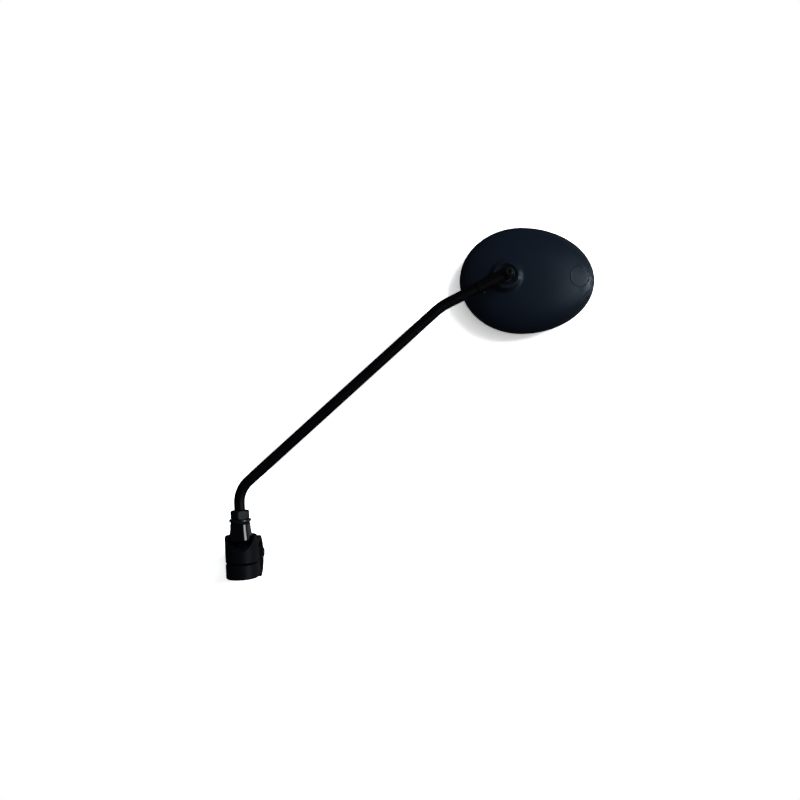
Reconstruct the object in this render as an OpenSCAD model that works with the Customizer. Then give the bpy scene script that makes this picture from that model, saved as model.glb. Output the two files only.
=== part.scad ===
// Clamp-on handlebar mirror, left-hand side, in millimetres.
// The origin is the centre of the clamp's bore. +X runs along the bar to its outer end, +Z is up, and
// +Y points back at the rider, so the glass faces +Y and the mast stands in front of the bar.

/* [Bar clamp] */
// Diameter of the bar that the clamp grips
bar_d = 22.2; // [20:0.1:28]
// Thickness of each rubber liner
liner_t = 1.3; // [0.8:0.1:2.5]
// Wall of the band outside the liners
band_wall = 2.6; // [2:0.1:5]
// Width of the band along the bar
band_w = 18; // [16:0.5:30]
// Gap between the two halves of the clamp
seam_gap = 0.6; // [0.3:0.1:1]
// Wall between the liners and the socket boss
web_t = 2.3; // [1.5:0.1:6]
// Diameter of the hinge pin behind the bar
pin_d = 3; // [2:0.1:4]
// Wall of the hinge knuckles round the pin
knuckle_wall = 1.7; // [1.2:0.1:3]
// Share of the band's width that the middle knuckle takes
knuckle_share = 0.4; // [0.3:0.05:0.5]
// Thread diameter of the two clamp screws
clamp_screw_d = 3; // [2.5:0.1:4]
// Distance between the two clamp screws
clamp_screw_pitch = 13.2; // [12:0.1:14]
// Distance from the liners to the line of the clamp screws
clamp_screw_web = 5.2; // [4.8:0.1:6]
// Depth of the jaw's lug under the seam
lug_depth = 10.6; // [10.5:0.1:16]

/* [Foot joint] */
// Radius of the foot's ball
foot_ball_r = 6.3; // [5.5:0.1:7]
// Wall of the socket boss round the ball
boss_wall = 5; // [4.5:0.1:7]
// Height of the ball's centre above the bar's centre line
foot_ball_z = 6; // [5.5:0.1:8]
// Height of the socket's top above the ball's centre
mouth_h = 13.3; // [12:0.1:16]
// How far the mast can lean forward
lean_max = 25; // [10:1:25]
// Slope of the cut in front of the mouth
mouth_slope = 55; // [45:1:65]
// Height of the mouth's front lip above the ball's centre
lip_h = 2.1; // [1:0.1:3]
// Diameter of the neck between ball and skirt
neck_d = 7.2; // [6:0.1:8]
// Height of the skirt's lower edge above the ball's centre
skirt_h = 9; // [8.8:0.1:10]
// Largest diameter of the skirt
skirt_d = 16.6; // [15:0.1:17]
// Diameter of the foot's top
foot_top_d = 14.1; // [13.6:0.1:15]
// Height of the foot's top above the ball's centre
foot_top_h = 21.6; // [19:0.1:26]
// Diameter of the grub screw that sets the joint's friction
tension_d = 4; // [3:0.1:5]

/* [Mast] */
// Diameter of the mast rod
rod_d = 7.6; // [6:0.1:8]
// Outside diameter of the mast's rolled thread
thread_d = 8; // [7.6:0.1:9]
// How far the thread reaches into the foot
thread_in = 9; // [7:0.1:10]
// Height of the mast's first corner above the ball's centre
corner_h = 45; // [42:0.5:80]
// Bend of the first corner away from upright
bend_low = 50.3; // [20:0.1:70]
// Radius of the first bend
bend_low_r = 20; // [16:1:26]
// Length from the first corner to the second
long_l = 191.7; // [120:0.1:260]
// Bend of the second corner
bend_high = 15.7; // [5:0.1:30]
// Radius of the second bend
bend_high_r = 45; // [20:1:80]
// Length from the second corner to the eye
tip_l = 52.1; // [44:0.1:80]

/* [Lock nut and seals] */
// Width of the lock nut across its flats
nut_af = 12; // [12:0.5:14]
// Height of the lock nut
nut_h = 6; // [4:0.1:8]
// Diameter of the washer under the nut
washer_d = 15.4; // [13.8:0.1:16]
// Thickness of the washer
washer_t = 1.5; // [0.8:0.1:2]
// Thickness of the rubber seal ring under the washer
seal_t = 1.4; // [0.8:0.1:2]

/* [Arm end] */
// Diameter of the fitting on the mast's end
arm_end_d = 8.8; // [8.4:0.1:11]
// Length of the fitting from its open end to the eye's centre
arm_end_l = 24.2; // [18:0.1:34]
// How far the rod sits in the fitting
rod_in = 14; // [8:0.1:16]
// Diameter of the cross pin through fitting and rod
cross_pin_d = 2; // [1.5:0.1:2.5]
// Thread diameter of the screw through the eye
eye_screw_d = 4.8; // [4:0.1:5]
// Diameter of the eye screw's head
eye_head_d = 6.2; // [5.8:0.1:7]
// Height of the eye screw's head
eye_head_h = 2.4; // [2:0.1:4]
// Thickness of the washer under the eye screw's head
eye_washer_t = 0.8; // [0.5:0.1:1.2]

/* [Head joint] */
// Radius of the ball in the mirror head
head_ball_r = 6.5; // [6:0.1:7]
// Wall of the split liner round that ball
head_liner_t = 1.45; // [1:0.05:1.8]
// Wall of the boss round the liner
head_boss_wall = 2.15; // [1.8:0.05:3]
// Diameter of the ball stud's neck
stud_neck_d = 6; // [5.8:0.1:6.4]
// Thickness of the stud's hexagon behind the eye
stud_hex_t = 2; // [1.5:0.1:3]
// Length of the neck from the hexagon to the ball's centre
stud_l = 12; // [12:0.1:16]
// Largest tilt of the mirror head each way
head_swing = 15; // [5:1:16]
// Thickness of the steel retainer plate
plate_t = 1.5; // [1:0.1:2]
// Distance of the plate's screws from the ball's axis
plate_screw_r = 15.5; // [15:0.1:18]

/* [Mirror head] */
// Length of the head from its middle to the blunt end
head_left = 45.2; // [40:0.1:60]
// Length of the head from its middle to the pointed end
head_right = 54.2; // [45:0.1:75]
// Half of the head's height
head_half_h = 39.2; // [34:0.1:50]
// Depth of the domed shell from its front to its widest line
dome_h = 21; // [19:0.1:26]
// Depth of the straight rim behind the widest line
rim_h = 5; // [5:0.1:8]
// Fullness of the dome, where 2 is an ellipse and more is squarer
dome_power = 2.3; // [2:0.05:2.8]
// Wall of the shell
shell_wall = 2.2; // [1.6:0.1:3]
// Width of the ledge that the glass carrier rests on
ledge_w = 1.6; // [1:0.1:3]
// Distance from the ball's axis to the head's middle, along the head
head_dx = 13.7; // [8:0.1:18]
// Distance from the ball's axis to the head's middle, up the head
head_dy = -1.1; // [-5:0.1:5]
// How far the head is turned down at its pointed end
head_turn = 2.5; // [-10:0.1:10]
// Outer radius of the plain raised ring on the shell's front
mark_r = 8; // [5:0.1:10]
// Width of that ring
mark_w = 1.2; // [0.8:0.1:2]
// Height of that ring above the dome
mark_h = 0.3; // [0.2:0.05:0.6]
// Share of the head's pointed half at which the ring sits
mark_share = 0.76; // [0.5:0.01:0.78]
// Height of the ring's middle above the head's long axis
mark_up = 1.6; // [-5:0.1:5]

/* [Glass] */
// Radius of the convex mirror glass
glass_curve_r = 1200; // [800:50:2000]
// Thickness of the glass
glass_t = 2; // [1.5:0.1:3]
// Thickness of the foam pad behind the glass
pad_t = 0.8; // [0.5:0.1:1.2]
// Least thickness of the carrier tray
carrier_t = 1; // [0.8:0.1:1.5]
// Width of the rubber seal between glass and rim
rim_seal_w = 1.4; // [1:0.1:2]
// How far the seal's lip covers the glass
seal_lip = 0.8; // [0.5:0.1:1.5]

/* [Hidden] */
$fn = 72;

// Clearances
run_fit = 0.05;
loose_fit = 0.15;
face_gap = 0.1;
skirt_gap = 0.6;
neck_gap = 0.35;
chamfer = 0.6;
// Overrun of a cutting shape past the face that it opens
over = 1;

// Clamp
bar_r = bar_d / 2;
liner_r = bar_r + liner_t;
band_r = liner_r + band_wall;
boss_r = foot_ball_r + boss_wall;
mast_y = -(liner_r + web_t + boss_r);
knuckle_r = pin_d / 2 + knuckle_wall;
hinge_y = band_r + knuckle_r - 1;
clamp_screw_y = -(liner_r + clamp_screw_web);
clamp_head_r = clamp_screw_d * 0.92;
clamp_head_h = clamp_screw_d;
insert_wall = 0.8;
insert_l = 6;
block_w = clamp_screw_pitch + 2 * clamp_head_r + 2;
saddle_z = 14;

// Foot
mouth_z = foot_ball_z + mouth_h;
seat_r = foot_ball_r + run_fit;
recess_h = skirt_h - 1;
recess_r = skirt_d / 2 + skirt_gap;
bore_r = seat_r + 0.2;
cup_r = bore_r - run_fit;
cup_rim_h = 3.2;
cup_floor_z = foot_ball_z - foot_ball_r - 2.6;
grub_tip_z = -lug_depth - 0.7;
foot_top_z = foot_ball_z + foot_top_h;

// Mast
rod_r = rod_d / 2;
thread_r = thread_d / 2;
thread_fit_r = thread_r + run_fit;
mast_foot_z = foot_top_z - thread_in;
thread_top_z = foot_top_z + seal_t + washer_t + nut_h + 1.2;
corner_z = foot_ball_z + corner_h;
bend_thin = 0.03;
bend_lap = 0.3;
low_run = bend_low_r * tan(bend_low / 2);
high_run = bend_high_r * tan(bend_high / 2);
rise = 90 - bend_low;
tip_rise = rise - bend_high;
eye_x = long_l * cos(rise) + tip_l * cos(tip_rise);
eye_z = corner_z + long_l * sin(rise) + tip_l * sin(tip_rise);

// Arm end and stud, with heights measured forward of the bar's centre
arm_end_r = arm_end_d / 2;
eye_screw_r = eye_screw_d / 2;
eye_h = -mast_y;
eye_back_h = eye_h - arm_end_r;
eye_front_h = eye_h + arm_end_r;
stud_front_h = eye_back_h - face_gap;
head_ball_h = stud_front_h - stud_hex_t - stud_l;
stud_hex_af = 8;
cross_pin_in = 3;
screw_hole_l = 7;

// Head joint
head_liner_r = head_ball_r + head_liner_t;
head_seat_r = head_liner_r + run_fit;
head_boss_r = head_seat_r + head_boss_wall;
neck_angle = asin(stud_neck_d / 2 / head_liner_r);
liner_cut = neck_angle + head_swing + 8;
liner_end = 118;
mouth_angle = neck_angle + head_swing * sqrt(2) + 4;
boss_front_h = head_ball_h + head_seat_r;
cup_bore_r = head_seat_r + 0.9;
cup_back_h = head_ball_h - 5.9;
spring_t = 0.8;
spring_cone = 0.6;
plate_front_h = cup_back_h - spring_t - spring_cone;
plate_back_h = plate_front_h - plate_t;
inner_boss_r = cup_bore_r + 2.4;
post_r = 3;
plate_screw_d = 2.6;
plate_head_r = 2.5;
plate_head_h = 1.8;
screw_in = 5;
ribs = 6;
rib_t = 1.4;
rib_drop = 2.5;

// Mirror head
head_sides = 72;
outer_rings = 14;
inner_rings = 10;
boss_proud = 3.5;
crown_h = boss_front_h - boss_proud;
widest_h = crown_h - dome_h;
rim_back_h = widest_h - rim_h;
rim_draft = 0.7;
glass_drop = 1;
glass_crown_h = rim_back_h + glass_drop;
glass_front_h = glass_crown_h + glass_t;
pad_front_h = glass_front_h + pad_t;
lens_steps = 24;
glass_edge_drop = pow(head_right - shell_wall, 2) / (2 * glass_curve_r);
ledge_h = pad_front_h + carrier_t + glass_edge_drop;
ledge_in = shell_wall + ledge_w;
glass_in = shell_wall + rim_seal_w;

// Stands on the axis of the foot, with its origin at the centre of the foot's ball
module at_foot_ball() {
    translate([0, mast_y, foot_ball_z]) children();
}

// Puts the eye's axis upright: up is forward of the bar, and the height is counted from the bar's centre
module at_eye() {
    translate([eye_x, 0, eye_z]) rotate([90, 0, 0]) children();
}

// The eye's axes turned as the head is turned
module at_head() {
    at_eye() rotate([0, 0, -head_turn]) children();
}

// The middle of the egg-shaped head
module at_egg() {
    at_head() translate([head_dx, head_dy, 0]) children();
}

// Cylinder whose two ends are chamfered
module turned(r, h, c = chamfer) {
    rotate_extrude()
        polygon([[0, 0], [r - c, 0], [r, c], [r, h - c], [r - c, h], [0, h]]);
}

// Ring between two radii
module ring(r_out, r_in, h) {
    difference() {
        cylinder(r = r_out, h = h);
        translate([0, 0, -over]) cylinder(r = r_in, h = h + 2 * over);
    }
}

// Everything above the seam, or below it
module half_space(above) {
    reach = 60;
    translate([-reach, -reach, above ? seam_gap / 2 : -reach - seam_gap / 2])
        cube([2 * reach, 2 * reach, reach]);
}

// Cylinder along the bar, of the given width, centred on the clamp
module along_bar(r, w) {
    translate([-w / 2, 0, 0]) rotate([0, 90, 0]) cylinder(r = r, h = w);
}

// Places its children at both clamp screws
module at_clamp_screws() {
    for (side = [-1, 1])
        translate([side * clamp_screw_pitch / 2, clamp_screw_y, 0]) children();
}

// Side profile, extruded across the clamp: y along x, z along y
module side_block(points, w) {
    translate([-w / 2, 0, 0]) rotate([90, 0, 90]) linear_extrude(height = w) polygon(points);
}

// Knuckle of the rear hinge, between two places across the band
module knuckle(from, to) {
    translate([from, hinge_y, 0]) rotate([0, 90, 0]) cylinder(r = knuckle_r, h = to - from);
}

// Hole of the hinge pin
module pin_hole() {
    translate([-band_w, hinge_y, 0]) rotate([0, 90, 0]) cylinder(r = pin_d / 2 + run_fit, h = 2 * band_w);
}

// Upper half of the clamp, moulded in one with the socket boss in front of it
module clamp_body() {
    mid = band_w * knuckle_share / 2 - loose_fit;
    color("dimgray") difference() {
        union() {
            intersection() {
                union() {
                    along_bar(band_r, band_w);
                    side_block([[mast_y, 0], [mast_y, saddle_z + 2], [mast_y + boss_r, saddle_z + 2],
                                [-bar_r * 0.6, saddle_z - 1], [0, 0]], band_w);
                    side_block([[mast_y, 0], [mast_y, insert_l + 3], [-liner_r, insert_l + 3],
                                [-liner_r, 0]], block_w);
                }
                half_space(true);
            }
            translate([0, mast_y, seam_gap / 2]) turned(boss_r, mouth_z - seam_gap / 2);
            knuckle(-mid, mid);
            translate([-mid, band_r - 3, -knuckle_r]) cube([2 * mid, hinge_y - band_r + 3, 2 * knuckle_r]);
        }
        along_bar(liner_r + run_fit, block_w + 2 * over);
        pin_hole();
        for (side = [-1, 1]) {
            start = side > 0 ? mid : -mid - band_w;
            translate([start, hinge_y, 0]) rotate([0, 90, 0]) cylinder(r = knuckle_r + loose_fit, h = band_w);
        }
        at_foot_ball() foot_socket();
        at_clamp_screws() cylinder(r = clamp_screw_d / 2 + insert_wall, h = insert_l + seam_gap / 2);
    }
}

// What the socket boss is hollowed by: the ball's seat, the neck's slot, the skirt's recess and the mouth
module foot_socket() {
    sphere(r = seat_r);
    translate([0, 0, -2 * boss_r]) cylinder(r = bore_r, h = 2 * boss_r);
    for (lean = [0, lean_max]) rotate([lean, 0, 0]) {
        translate([0, 0, foot_ball_r * 0.7]) cylinder(r = neck_d / 2 + neck_gap, h = mouth_h);
        translate([0, 0, recess_h]) cylinder(r = recess_r, h = mouth_h + boss_r);
    }
    slot_w = neck_d + neck_gap;
    translate([-slot_w / 2, 0, 0]) rotate([90, 0, 90]) linear_extrude(height = slot_w)
        polygon([[0, 0], [0, mouth_h], [-mouth_h * sin(lean_max), mouth_h * cos(lean_max)]]);
    translate([0, -boss_r, lip_h]) rotate([mouth_slope, 0, 0])
        translate([-2 * boss_r, -boss_r, 0]) cube([4 * boss_r, 4 * boss_r, 2 * boss_r]);
}

// Lower half of the clamp with the lug that closes the socket from below
module clamp_jaw() {
    mid = band_w * knuckle_share / 2;
    color("dimgray") difference() {
        union() {
            intersection() {
                union() {
                    along_bar(band_r, band_w);
                    side_block([[mast_y, 0], [mast_y, -lug_depth], [-liner_r, -lug_depth],
                                [-bar_r * 0.5, -band_r + 1.5], [0, 0]], block_w);
                }
                half_space(false);
            }
            translate([0, mast_y, -lug_depth]) turned(boss_r, lug_depth - seam_gap / 2);
            for (side = [-1, 1]) {
                start = side > 0 ? mid : -band_w / 2;
                knuckle(start, start + band_w / 2 - mid);
                translate([start, band_r - 3, -knuckle_r])
                    cube([band_w / 2 - mid, hinge_y - band_r + 3, knuckle_r - seam_gap / 2]);
            }
        }
        along_bar(liner_r + run_fit, block_w + 2 * over);
        translate([-mid, band_r - 4, -knuckle_r - 2 * over])
            cube([2 * mid, 4 + 2 * knuckle_r, 2 * knuckle_r + 2 * over]);
        pin_hole();
        translate([0, mast_y, cup_floor_z]) cylinder(r = cup_r + run_fit, h = lug_depth);
        translate([0, mast_y, -lug_depth - over])
            cylinder(r = tension_d / 2 + insert_wall, h = lug_depth + cup_floor_z + 2 * over);
        at_clamp_screws() {
            translate([0, 0, -lug_depth - over]) cylinder(r = clamp_screw_d / 2 + loose_fit, h = 2 * lug_depth);
            translate([0, 0, -lug_depth - over])
                cylinder(r = clamp_head_r + loose_fit, h = clamp_head_h + 0.3 + over);
        }
    }
}

// Steel pin of the rear hinge
module hinge_pin() {
    color("silver") translate([-band_w / 2, hinge_y, 0]) rotate([0, 90, 0])
        turned(pin_d / 2, band_w, pin_d / 10);
}

// Rubber liner on one side of the seam
module bar_liner(above) {
    intersection() {
        difference() {
            along_bar(liner_r, band_w);
            along_bar(bar_r, band_w + 2 * over);
        }
        half_space(above);
    }
}

module bar_liner_upper() {
    color("#202022") bar_liner(true);
}

module bar_liner_lower() {
    color("#202022") bar_liner(false);
}

// Cap screw with a hexagon socket, its head below and its thread pointing up
module cap_screw(head_r, head_h, screw_r, length) {
    difference() {
        union() {
            turned(head_r, head_h, head_h / 10);
            translate([0, 0, head_h - over]) cylinder(r = screw_r, h = length + over);
        }
        translate([0, 0, -over]) cylinder(r = head_r * 0.5, h = over + head_h * 0.55, $fn = 6);
    }
}

// The two screws that close the clamp from below
module clamp_screws() {
    color("#303034") at_clamp_screws()
        translate([0, 0, -lug_depth + 0.3])
            cap_screw(clamp_head_r, clamp_head_h, clamp_screw_d / 2,
                      lug_depth + insert_l - clamp_head_h - 1);
}

// Brass inserts that the clamp screws pull on
module clamp_inserts() {
    color("goldenrod") at_clamp_screws() translate([0, 0, seam_gap / 2 + 0.2])
        ring(clamp_screw_d / 2 + insert_wall - run_fit, clamp_screw_d / 2 + run_fit, insert_l - 0.3);
}

// Plastic cup that the foot's ball sits in
module ball_cup() {
    color("#3a3a3c") difference() {
        translate([0, mast_y, cup_floor_z])
            turned(cup_r, foot_ball_z - cup_rim_h - cup_floor_z, 0.3);
        at_foot_ball() sphere(r = seat_r);
    }
}

// Grub screw that presses the cup against the ball
module tension_screw() {
    color("#303034") difference() {
        translate([0, mast_y, grub_tip_z]) turned(tension_d / 2, cup_floor_z - grub_tip_z, 0.3);
        translate([0, mast_y, grub_tip_z - over]) cylinder(r = tension_d * 0.28, h = 3 + over, $fn = 6);
    }
}

// Brass insert in the jaw that the grub screw turns in
module tension_insert() {
    color("goldenrod") translate([0, mast_y, -lug_depth + 0.5])
        ring(tension_d / 2 + insert_wall - run_fit, tension_d / 2 + run_fit,
             lug_depth + cup_floor_z - 1);
}

// Turned foot: ball, neck and the tapered skirt that takes the mast's thread
module foot() {
    skirt_r = skirt_d / 2;
    top_r = foot_top_d / 2;
    color("#101014") at_foot_ball() difference() {
        union() {
            difference() {
                sphere(r = foot_ball_r);
                translate([-foot_ball_r, -foot_ball_r, -2 * foot_ball_r - foot_ball_r * 0.86])
                    cube(2 * foot_ball_r);
            }
            cylinder(r = neck_d / 2, h = skirt_h + over);
            rotate_extrude()
                polygon([[0, skirt_h], [skirt_r - 1.4, skirt_h], [skirt_r - 0.4, skirt_h + 0.5],
                         [skirt_r, skirt_h + 1.5], [skirt_r - 0.35, skirt_h + 4.5],
                         [top_r + 0.25, foot_top_h - 3], [top_r, foot_top_h - 0.4],
                         [top_r - 0.4, foot_top_h], [0, foot_top_h]]);
        }
        translate([0, 0, foot_top_h - thread_in - 0.5])
            cylinder(r = thread_r + insert_wall + 0.3, h = thread_in + 0.5 + over);
    }
}

// Brass insert in the foot with the mast's thread
module foot_insert() {
    color("goldenrod") translate([0, mast_y, foot_top_z - thread_in])
        ring(thread_r + insert_wall + 0.3 - run_fit, thread_fit_r, thread_in - 0.2);
}

// Rubber ring between foot and washer
module seal_ring() {
    color("#1c1c1e") translate([0, mast_y, foot_top_z])
        ring(foot_top_d / 2 - 0.15, thread_fit_r + loose_fit, seal_t);
}

// Steel washer under the lock nut
module washer() {
    color("#2a2a2e") translate([0, mast_y, foot_top_z + seal_t]) difference() {
        turned(washer_d / 2, washer_t, 0.25);
        translate([0, 0, -over]) cylinder(r = thread_fit_r + loose_fit, h = washer_t + 2 * over);
    }
}

// Hexagon lock nut with chamfered corners, one corner to the front
module lock_nut() {
    corner_r = nut_af / 2 / cos(30);
    color("#26262a") translate([0, mast_y, foot_top_z + seal_t + washer_t + face_gap]) difference() {
        intersection() {
            rotate([0, 0, 30]) cylinder(r = corner_r, h = nut_h, $fn = 6);
            turned(corner_r, nut_h, 0.5);
        }
        translate([0, 0, -over]) cylinder(r = thread_fit_r, h = nut_h + 2 * over);
    }
}

// Straight stretch of rod; what follows starts at its end
module straight(l) {
    cylinder(r = rod_r, h = l);
    translate([0, 0, l]) children();
}

// Bend of the rod towards +X; what follows starts at its end. Drawing thins the bend a little, and its ends
// lap into the straight stretches.
module elbow(angle, r) {
    lap = bend_lap / r * 180 / PI;
    translate([r, 0, 0]) rotate([90, 0, 180]) rotate([0, 0, -lap])
        rotate_extrude(angle = angle + 2 * lap) translate([r, 0]) circle(r = rod_r - bend_thin);
    translate([r * (1 - cos(angle)), 0, r * sin(angle)]) rotate([0, angle, 0]) children();
}

// Mast: one bent steel rod with a rolled thread at its foot
module mast() {
    color("#141416") difference() {
        union() {
            translate([0, mast_y, mast_foot_z]) turned(thread_r, thread_top_z - mast_foot_z, 0.4);
            translate([0, mast_y, mast_foot_z + over])
                straight(corner_z - low_run - mast_foot_z - over)
                elbow(bend_low, bend_low_r)
                straight(long_l - low_run - high_run)
                elbow(bend_high, bend_high_r)
                straight(tip_l - high_run - arm_end_l + rod_in);
        }
        cross_hole();
    }
}

// Along the fitting: up runs from its open end to the eye
module at_arm_end() {
    translate([eye_x, mast_y, eye_z]) rotate([0, 90 - tip_rise, 0]) translate([0, 0, -arm_end_l])
        children();
}

// Hole for the cross pin, through the fitting and the rod in it
module cross_hole() {
    at_arm_end() translate([0, 0, cross_pin_in]) rotate([0, 90, 0])
        cylinder(r = cross_pin_d / 2 + run_fit, h = 4 * arm_end_r, center = true);
}

// Fitting on the mast's end, with the eye for the head's screw
module arm_end() {
    color("#1a1a1d") difference() {
        union() {
            at_arm_end() turned(arm_end_r, arm_end_l, 0.5);
            at_eye() translate([0, 0, eye_back_h]) turned(arm_end_r, arm_end_d, 0.4);
        }
        at_arm_end() translate([0, 0, -over]) cylinder(r = rod_r + run_fit, h = rod_in + run_fit + over);
        cross_hole();
        at_eye() translate([0, 0, eye_back_h - over])
            cylinder(r = eye_screw_r + run_fit, h = arm_end_d + 2 * over);
    }
}

// Spring pin that holds the fitting on the rod
module cross_pin() {
    color("#505054") at_arm_end() translate([0, 0, cross_pin_in]) rotate([0, 90, 0])
        translate([0, 0, -arm_end_r - 0.5]) turned(cross_pin_d / 2, arm_end_d + 1, 0.2);
}

// Ball stud: ball, neck and the hexagon that bears on the back of the eye
module ball_stud() {
    color("silver") at_eye() difference() {
        union() {
            translate([0, 0, head_ball_h]) sphere(r = head_ball_r);
            translate([0, 0, head_ball_h]) cylinder(r = stud_neck_d / 2, h = stud_l + over);
            translate([0, 0, stud_front_h - stud_hex_t])
                cylinder(r = stud_hex_af / 2 / cos(30), h = stud_hex_t, $fn = 6);
        }
        translate([0, 0, stud_front_h - screw_hole_l])
            cylinder(r = eye_screw_r - 0.3 + run_fit, h = screw_hole_l + over);
    }
}

// Button screw through the eye into the ball stud
module eye_screw() {
    head_h = eye_front_h + face_gap + eye_washer_t;
    color("#2c2c30") at_eye() difference() {
        union() {
            translate([0, 0, stud_front_h - screw_hole_l + 0.5])
                cylinder(r = eye_screw_r - 0.3, h = screw_hole_l);
            translate([0, 0, stud_front_h]) cylinder(r = eye_screw_r, h = head_h - stud_front_h + over);
            translate([0, 0, head_h]) turned(eye_head_d / 2, eye_head_h, eye_head_h / 4);
        }
        translate([0, 0, head_h + eye_head_h * 0.35]) cylinder(r = eye_head_d * 0.25, h = eye_head_h, $fn = 6);
    }
}

// Washer between the eye and the screw's head
module eye_washer() {
    color("#1e1e22") at_eye() translate([0, 0, eye_front_h + face_gap]) difference() {
        turned(arm_end_r - 0.3, eye_washer_t, 0.2);
        translate([0, 0, -over]) cylinder(r = eye_screw_r + run_fit, h = eye_washer_t + 2 * over);
    }
}

// Split nylon liner round the ball, open to the front for the neck and to the back
module head_liner() {
    slits = 4;
    color("ivory") at_head() translate([0, 0, head_ball_h]) difference() {
        sphere(r = head_liner_r);
        sphere(r = head_ball_r + run_fit);
        cylinder(r1 = 0, r2 = 2 * head_liner_r * tan(liner_cut), h = 2 * head_liner_r);
        translate([0, 0, -head_liner_r - over])
            cylinder(r = 2 * head_liner_r, h = head_liner_r * (1 + cos(liner_end)) + over);
        for (i = [0 : slits - 1]) rotate([0, 0, (i + 0.5) * 360 / slits])
            translate([0, -0.5, -2 * head_liner_r]) cube([2 * head_liner_r, 1, 2 * head_liner_r - 1]);
    }
}

// Point of the egg-shaped outline at angle a, drawn in by a distance
function egg(a, drawn_in) =
    [((cos(a) < 0 ? head_left : head_right) - drawn_in) * cos(a), (head_half_h - drawn_in) * sin(a)];

// Outline of the egg as a list of points
function egg_outline(drawn_in) =
    [for (i = [0 : head_sides - 1]) egg(i * 360 / head_sides, drawn_in)];

// Ring of the egg at a height, shrunk by a share
function egg_ring(drawn_in, share, h) =
    [for (p = egg_outline(drawn_in)) [p.x * share, p.y * share, h]];

// Rings of a dome from its widest line up to its crown: each is [share of the outline, share of the height]
function dome_steps(count) =
    [for (i = [0 : count - 1]) let (a = 90 * i / count) [pow(cos(a), 2 / dome_power), pow(sin(a), 2 / dome_power)]];

// Closed skin over a stack of egg rings, with a middle point at each end
function stack_faces(rings, sides) = concat(
    [for (i = [0 : sides - 1]) [0, 1 + (i + 1) % sides, 1 + i]],
    [for (k = [0 : rings - 2], i = [0 : sides - 1]) let (a = 1 + k * sides + i, b = 1 + k * sides + (i + 1) % sides)
        each [[a, b, b + sides], [a, b + sides, a + sides]]],
    [for (i = [0 : sides - 1]) let (last = 1 + (rings - 1) * sides)
        [last + i, last + (i + 1) % sides, last + sides]]);

// Solid between two middle points through a list of rings
module egg_stack(start, rings, end) {
    points = concat([start], [for (r = rings) each r], [end]);
    polyhedron(points = points, faces = stack_faces(len(rings), head_sides));
}

// The dome with its wall, ledge and rim, as one skin from the outer crown round the rim to the inner crown
module dome_shell() {
    outer = dome_steps(outer_rings);
    inner = dome_steps(inner_rings);
    inner_h = crown_h - shell_wall - ledge_h;
    egg_stack([0, 0, crown_h],
              concat([for (i = [outer_rings - 1 : -1 : 0])
                          egg_ring(0, outer[i][0], widest_h + dome_h * outer[i][1])],
                     [egg_ring(rim_draft, 1, rim_back_h)],
                     [egg_ring(shell_wall, 1, rim_back_h)],
                     [egg_ring(shell_wall, 1, ledge_h)],
                     [for (i = [0 : inner_rings - 1])
                          egg_ring(ledge_in, inner[i][0], ledge_h + inner_h * inner[i][1])]),
              [0, 0, crown_h - shell_wall]);
}

// The dome's body without its hollow, drawn in by a distance, on a number of rings
module dome_core(drawn_in, rings) {
    steps = dome_steps(rings);
    egg_stack([0, 0, crown_h - drawn_in],
              [for (i = [rings - 1 : -1 : 0])
                   egg_ring(drawn_in, steps[i][0], widest_h + (dome_h - drawn_in) * steps[i][1])],
              [0, 0, widest_h]);
}

// Plain raised ring near the pointed end, rooted in the dome's wall
module raised_ring() {
    intersection() {
        difference() {
            dome_core(-mark_h, outer_rings);
            dome_core(shell_wall / 2, inner_rings);
        }
        translate([head_right * mark_share, mark_up, widest_h])
            ring(mark_r, mark_r - mark_w, dome_h + 1);
    }
}

// Places its children at the three screws of the retainer plate
module at_plate_screws() {
    for (i = [0 : 2]) rotate([0, 0, 90 + i * 120]) translate([plate_screw_r, 0, 0]) children();
}

// Moulded shell: dome, ball boss, screw posts and the ribs between them
module shell() {
    color("#15171c") difference() {
        union() {
            at_egg() dome_shell();
            at_egg() raised_ring();
            at_head() translate([0, 0, head_ball_h]) turned(head_boss_r, boss_front_h - head_ball_h, 0.9);
            intersection() {
                at_egg() dome_core(shell_wall / 2, inner_rings);
                at_head() translate([0, 0, plate_front_h]) {
                    cylinder(r = inner_boss_r, h = dome_h);
                    at_plate_screws() cylinder(r = post_r, h = dome_h);
                    for (i = [0 : ribs - 1]) rotate([0, 0, 30 + i * 360 / ribs])
                        translate([head_boss_r, -rib_t / 2, rib_drop]) cube([head_right, rib_t, dome_h]);
                }
            }
        }
        at_head() {
            translate([0, 0, head_ball_h]) sphere(r = head_seat_r);
            translate([0, 0, head_ball_h])
                cylinder(r1 = 0, r2 = 2 * head_seat_r * tan(mouth_angle), h = 2 * head_seat_r);
            translate([0, 0, plate_front_h - over]) cylinder(r = cup_bore_r, h = head_ball_h - plate_front_h + over);
            at_plate_screws() translate([0, 0, plate_front_h - over])
                cylinder(r = plate_screw_d / 2 + run_fit, h = screw_in + over + 0.5);
        }
    }
}

// Ring that presses the liner from behind
module pressure_cup() {
    color("#4a4a4c") at_head() difference() {
        translate([0, 0, cup_back_h]) cylinder(r = cup_bore_r - run_fit, h = head_ball_h - cup_back_h - 0.3);
        translate([0, 0, head_ball_h]) sphere(r = head_seat_r);
        translate([0, 0, cup_back_h - over]) cylinder(r = head_liner_r * 0.72, h = head_ball_h);
    }
}

// Conical spring washer behind the pressure cup
module disc_spring() {
    r_in = head_liner_r * 0.72;
    r_out = cup_bore_r - loose_fit;
    color("silver") at_head() translate([0, 0, plate_front_h]) rotate_extrude()
        polygon([[r_in, spring_cone], [r_out, 0], [r_out, spring_t], [r_in, spring_cone + spring_t]]);
}

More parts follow.
